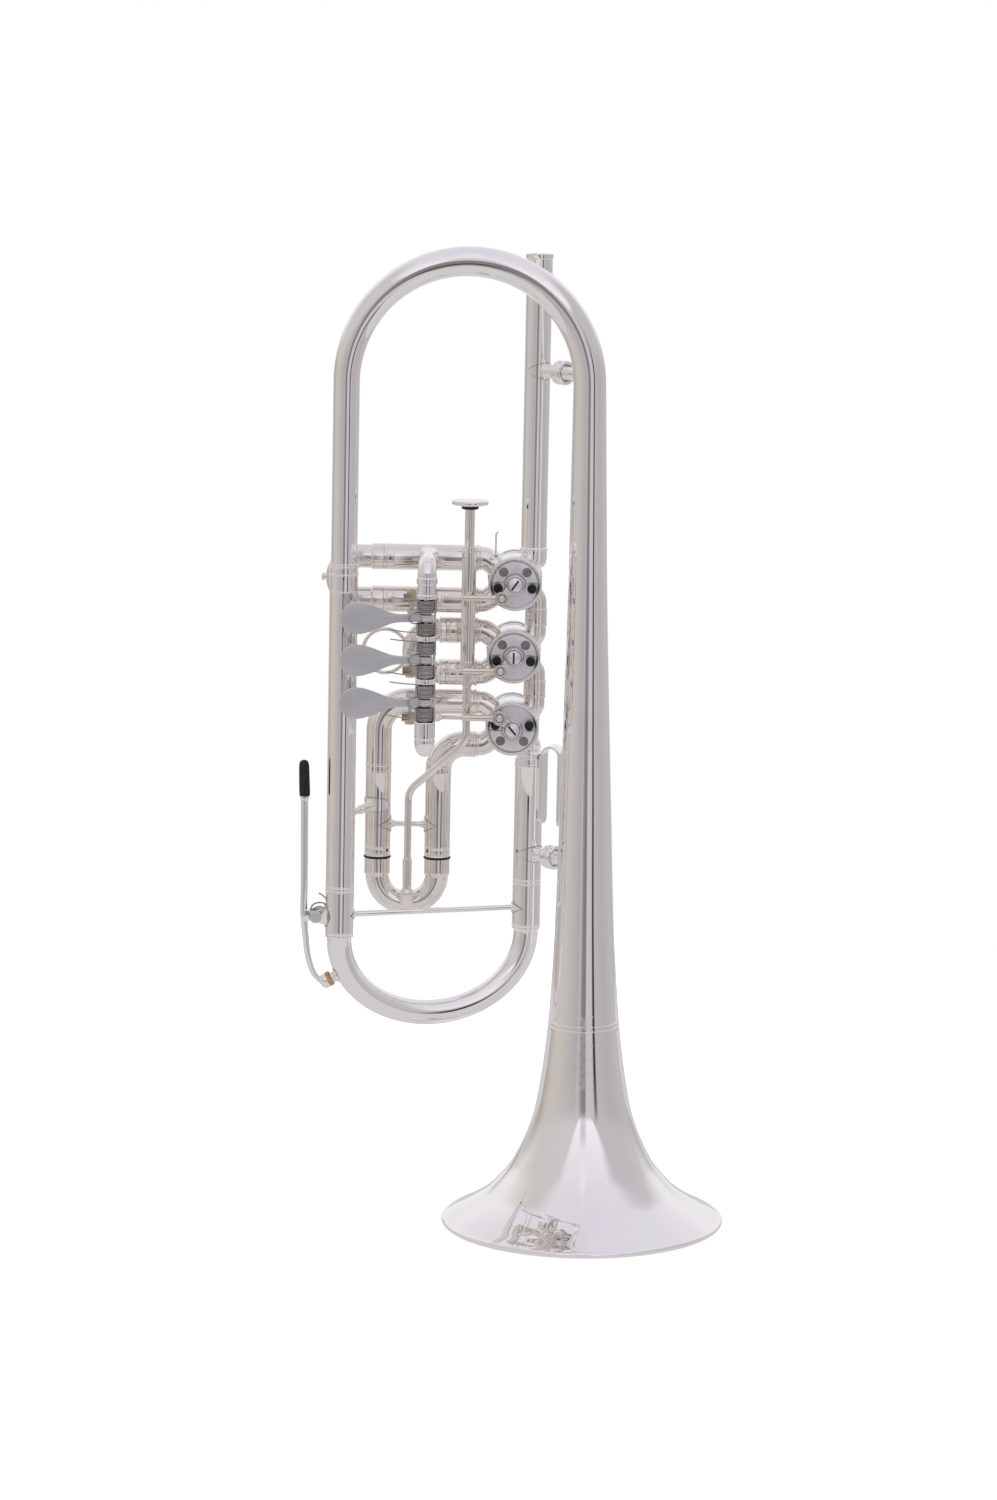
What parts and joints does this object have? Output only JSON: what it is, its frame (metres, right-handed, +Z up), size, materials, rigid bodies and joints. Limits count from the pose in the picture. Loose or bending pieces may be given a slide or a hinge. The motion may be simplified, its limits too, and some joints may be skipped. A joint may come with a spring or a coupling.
{
  "type": "flugelhorn",
  "caption": "Silver rotary-valve flugelhorn standing on its bell: conical bell and bows, side-action finger levers, sliding tuning tubes, slide trigger and water key.",
  "frame": {"origin": "middle of the instrument's bounding box, on the plane the bell rim stands on", "axes": "+Z up along the bell axis from the rim to the top bow, +X from the left-hand tube towards the bell, +Y away from the finger levers"},
  "size_m": [0.2279, 0.1508, 0.5231],
  "materials": {
    "silver_plate": "silver-plated brass, mirror polished",
    "satin_nickel": "nickel silver, fine satin",
    "valve_brass": "turned, oiled",
    "spring_steel": "dark bright-drawn steel",
    "black_rubber": "matt black",
    "cork": "natural cork"
  },
  "bodies": {
    "body": {"bell": "silver_plate", "bell_rim_ring": "silver_plate", "bell_bow": "silver_plate", "tuning_sleeve_left": "silver_plate", "valve_exit_tube": "silver_plate", "leadpipe": "silver_plate", "mouthpiece_receiver": "silver_plate", "slide1_upper_sleeve": "silver_plate", "slide1_lower_sleeve": "silver_plate", "slide2_upper_sleeve": "silver_plate", "slide2_lower_sleeve": "silver_plate", "slide3_upper_sleeve": "silver_plate", "slide3_lower_sleeve": "silver_plate", "slide3_brace": "silver_plate", "knuckle_1_2": "silver_plate", "knuckle_2_3": "silver_plate", "trigger_guide": "silver_plate", "upper_bell_brace": "silver_plate", "lower_bell_brace": "silver_plate", "finger_hook": "silver_plate", "lever_saddle": "silver_plate", "valve_casing_1": "silver_plate", "valve_cap_1": "silver_plate", "stop_plate_1": "satin_nickel", "lever_spring_1": "spring_steel", "valve_casing_2": "silver_plate", "valve_cap_2": "silver_plate", "stop_plate_2": "satin_nickel", "lever_spring_2": "spring_steel", "valve_casing_3": "silver_plate", "valve_cap_3": "silver_plate", "stop_plate_3": "satin_nickel", "lever_spring_3": "spring_steel", "lever_axle": "spring_steel", "trigger_spring": "spring_steel"},
    "lever1": {"finger_lever_1": "satin_nickel"},
    "rotor1": {"valve_rotor_1": "valve_brass", "stop_arm_1": "satin_nickel", "stop_screw_1": "satin_nickel"},
    "link1": {"valve_link_1": "spring_steel"},
    "lever2": {"finger_lever_2": "satin_nickel"},
    "rotor2": {"valve_rotor_2": "valve_brass", "stop_arm_2": "satin_nickel", "stop_screw_2": "satin_nickel"},
    "link2": {"valve_link_2": "spring_steel"},
    "lever3": {"finger_lever_3": "satin_nickel"},
    "rotor3": {"valve_rotor_3": "valve_brass", "stop_arm_3": "satin_nickel", "stop_screw_3": "satin_nickel"},
    "link3": {"valve_link_3": "spring_steel"},
    "slide1": {"slide1_bow": "silver_plate"},
    "slide2": {"slide2_bow_with_ring": "silver_plate"},
    "slide3": {"slide3_bow": "silver_plate", "trigger_rod": "silver_plate", "trigger_button": "silver_plate"},
    "tuning": {"tuning_slide_bow": "silver_plate", "water_key_saddle": "silver_plate"},
    "water_key": {"water_key_lever": "silver_plate", "water_key_cork": "cork", "water_key_tip": "black_rubber"}
  },
  "joints": [
    {"name": "lever1_turn", "type": "hinge", "parent": "body", "child": "lever1", "pos_m": [-0.04616, -0.02336, 0.33102], "axis": [-0.0129, 0, -0.9999], "range_deg": [0, 27.69], "stiffness_Nm_per_rad": 0.05, "springref_deg": -57.3},
    {"name": "rotor1_turn", "type": "hinge", "parent": "body", "child": "rotor1", "pos_m": [0.00022, 0.032, 0.34472], "axis": [0, -1, 0], "range_deg": [0, 90]},
    {"name": "link1_turn", "type": "hinge", "parent": "rotor1", "child": "link1", "pos_m": [-0.0068, 0.005, 0.33788], "axis": [0, 1, 0], "range_deg": [0, 90]},
    {"name": "lever2_turn", "type": "hinge", "parent": "body", "child": "lever2", "pos_m": [-0.04645, -0.02336, 0.30892], "axis": [-0.0129, 0, -0.9999], "range_deg": [0, 27.69], "stiffness_Nm_per_rad": 0.05, "springref_deg": -57.3},
    {"name": "rotor2_turn", "type": "hinge", "parent": "body", "child": "rotor2", "pos_m": [-0.00028, 0.032, 0.30578], "axis": [0, -1, 0], "range_deg": [0, 90]},
    {"name": "link2_turn", "type": "hinge", "parent": "rotor2", "child": "link2", "pos_m": [-0.0073, 0.005, 0.29894], "axis": [0, 1, 0], "range_deg": [0, 90]},
    {"name": "lever3_turn", "type": "hinge", "parent": "body", "child": "lever3", "pos_m": [-0.04674, -0.02336, 0.28633], "axis": [-0.0129, 0, -0.9999], "range_deg": [0, 27.69], "stiffness_Nm_per_rad": 0.05, "springref_deg": -57.3},
    {"name": "rotor3_turn", "type": "hinge", "parent": "body", "child": "rotor3", "pos_m": [-0.00079, 0.032, 0.26683], "axis": [0, 1, 0], "range_deg": [0, 90]},
    {"name": "link3_turn", "type": "hinge", "parent": "rotor3", "child": "link3", "pos_m": [-0.00763, 0.005, 0.27385], "axis": [0, -1, 0], "range_deg": [0, 90]},
    {"name": "slide1_pull", "type": "slide", "parent": "body", "child": "slide1", "axis": [-0.9999, 0, 0.0129], "range_m": [0, 0.025]},
    {"name": "slide2_pull", "type": "slide", "parent": "body", "child": "slide2", "axis": [-0.9999, 0, 0.0129], "range_m": [0, 0.008]},
    {"name": "slide3_trigger", "type": "slide", "parent": "body", "child": "slide3", "axis": [-0.0129, 0, -0.9999], "range_m": [0, 0.02], "stiffness_N_per_m": 60, "springref_m": -0.03, "deforming": ["trigger_spring"]},
    {"name": "tuning_pull", "type": "slide", "parent": "body", "child": "tuning", "axis": [-0.0129, 0, -0.9999], "range_m": [0, 0.025]},
    {"name": "water_key_turn", "type": "hinge", "parent": "tuning", "child": "water_key", "pos_m": [-0.10498, 0, 0.16767], "axis": [0, 1, 0], "range_deg": [0, 6], "stiffness_Nm_per_rad": 0.05, "springref_deg": -34.38}
  ],
  "couplings": [
    {"joint": "rotor1_turn", "follows": "lever1_turn", "ratio": 3.25},
    {"joint": "link1_turn", "follows": "lever1_turn", "ratio": 3.25},
    {"joint": "rotor2_turn", "follows": "lever2_turn", "ratio": 3.25},
    {"joint": "link2_turn", "follows": "lever2_turn", "ratio": 3.25},
    {"joint": "rotor3_turn", "follows": "lever3_turn", "ratio": 3.25},
    {"joint": "link3_turn", "follows": "lever3_turn", "ratio": 3.25}
  ]
}
